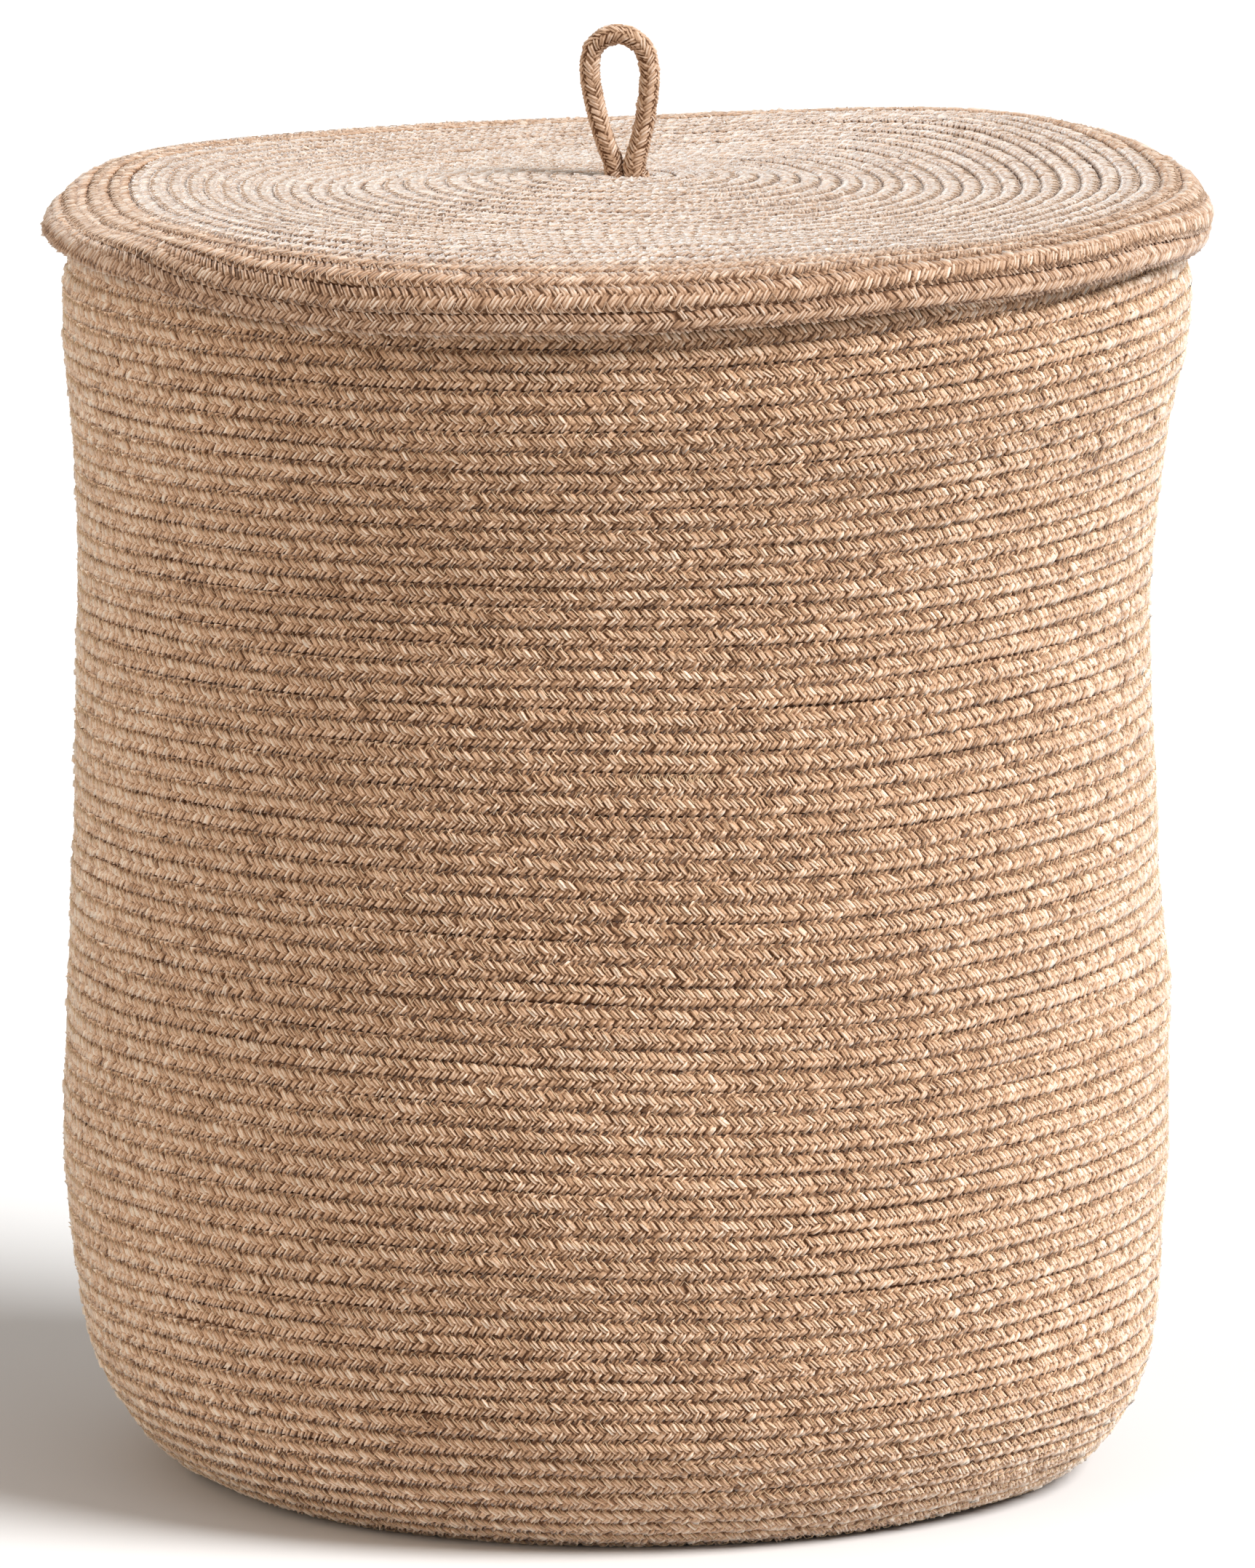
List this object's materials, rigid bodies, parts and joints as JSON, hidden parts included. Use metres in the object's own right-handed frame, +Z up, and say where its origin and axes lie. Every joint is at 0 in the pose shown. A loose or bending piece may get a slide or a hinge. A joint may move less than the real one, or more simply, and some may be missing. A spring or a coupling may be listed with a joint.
{
  "type": "laundry hamper with lid",
  "caption": "Round soft laundry hamper sewn from coiled braided rope, with a loose capping lid and a rope loop to lift it by.",
  "frame": {"origin": "centre of the base, on the floor that the hamper stands on", "axes": "+Z up, -Y towards the front, +X to the right seen from the front; the rope loop stands in the XZ plane"},
  "size_m": [0.4526, 0.4526, 0.5638],
  "materials": {
    "body_rope": "matte braided natural cotton and jute rope, warm sand",
    "lid_rope": "matte braided natural cotton and jute rope, pale sand",
    "loop_rope": "matte braided natural rope, slightly darker sand",
    "stitch_thread": "matte straw-coloured sewing thread"
  },
  "bodies": {
    "hamper": {"base_coil": "body_rope", "heel_coil": "body_rope", "wall_coil": "body_rope", "rim_coil": "body_rope"},
    "lid": {"lid_disc_coil": "lid_rope", "lid_skirt_coil": "lid_rope", "loop_tail_left": "loop_rope", "loop_tail_right": "loop_rope", "tail_tack_left": "stitch_thread", "tail_tack_right": "stitch_thread"},
    "loop": {"loop_handle": "loop_rope"}
  },
  "joints": [
    {"name": "lid_lift", "type": "slide", "parent": "hamper", "child": "lid", "axis": [0, 0, 1], "range_m": [0, 0.12]},
    {"name": "loop_flop", "type": "hinge", "parent": "lid", "child": "loop", "pos_m": [0, 0, 0.5098], "axis": [1, 0, 0], "range_deg": [-80, 80], "stiffness_Nm_per_rad": 0.02}
  ]
}
